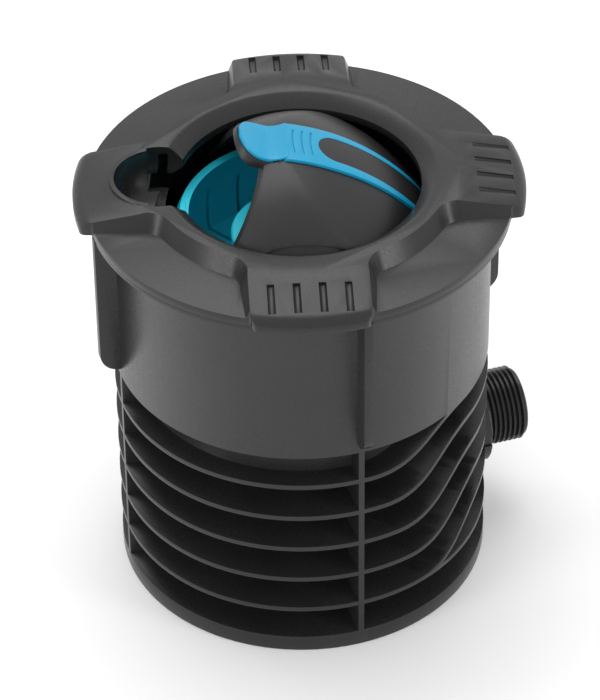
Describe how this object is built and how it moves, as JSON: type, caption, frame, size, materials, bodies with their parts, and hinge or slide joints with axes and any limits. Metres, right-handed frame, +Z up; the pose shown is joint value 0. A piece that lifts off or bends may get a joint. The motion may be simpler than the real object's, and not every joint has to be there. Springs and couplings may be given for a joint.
{
  "type": "garden water connection box",
  "caption": "Round ground box for a garden water supply: ribbed casing, four-lug top ring and a ball lid that swings open over a blue bowl with a hose connector.",
  "frame": {"origin": "centre of the underside of the base plate", "axes": "+Z up out of the ground; the lid pivots about +Y; the finger scoop is on -X; the pipe inlet points 15 degrees from +X towards +Y"},
  "size_m": [0.1554, 0.15, 0.1748],
  "materials": {
    "anthracite": "satin moulded, fine grain",
    "dark_fitting": "satin moulded",
    "screw_steel": "satin",
    "pin_steel": "ground",
    "spring_steel": "drawn wire",
    "seal_rubber": "matt",
    "strainer_mesh": "semi-gloss",
    "nipple_grey": "semi-gloss",
    "bush_white": "semi-gloss",
    "cyan_bowl": "semi-gloss",
    "cyan_handle": "semi-gloss",
    "inlay_dark": "satin"
  },
  "bodies": {
    "ground_body": {"ground_casing": "anthracite", "base_plate": "anthracite", "base_plate_screws": "screw_steel", "inlet_elbow": "dark_fitting", "inlet_lock_nut": "dark_fitting", "inlet_seal_ring": "seal_rubber", "valve_body": "dark_fitting", "riser_o_ring": "seal_rubber", "strainer_basket": "strainer_mesh", "hose_nipple": "nipple_grey", "nipple_o_ring": "seal_rubber", "bowl": "cyan_bowl", "valve_spring": "spring_steel"},
    "head": {"top_ring": "anthracite", "ring_seal": "seal_rubber", "lid_cradle": "dark_fitting", "cradle_screws": "screw_steel", "pivot_bush_front": "bush_white", "pivot_bush_back": "bush_white"},
    "lid": {"lid_shell": "anthracite", "lid_handle": "cyan_handle", "handle_inlay": "inlay_dark", "pivot_pin_front": "pin_steel", "pivot_pin_back": "pin_steel"},
    "valve": {"valve_poppet": "bush_white", "poppet_seal": "seal_rubber"}
  },
  "joints": [
    {"name": "head_turn", "type": "hinge", "parent": "ground_body", "child": "head", "pos_m": [0, 0, 0.15], "axis": [0, 0, 1], "range_deg": [0, 25]},
    {"name": "lid_turn", "type": "hinge", "parent": "head", "child": "lid", "pos_m": [0, 0, 0.12], "axis": [0, 1, 0], "range_deg": [-38, 55]},
    {"name": "valve_travel", "type": "slide", "parent": "ground_body", "child": "valve", "axis": [0, 0, -1], "range_m": [0, 0.004], "stiffness_N_per_m": 800, "springref_m": -0.004, "deforming": ["valve_spring"]}
  ]
}
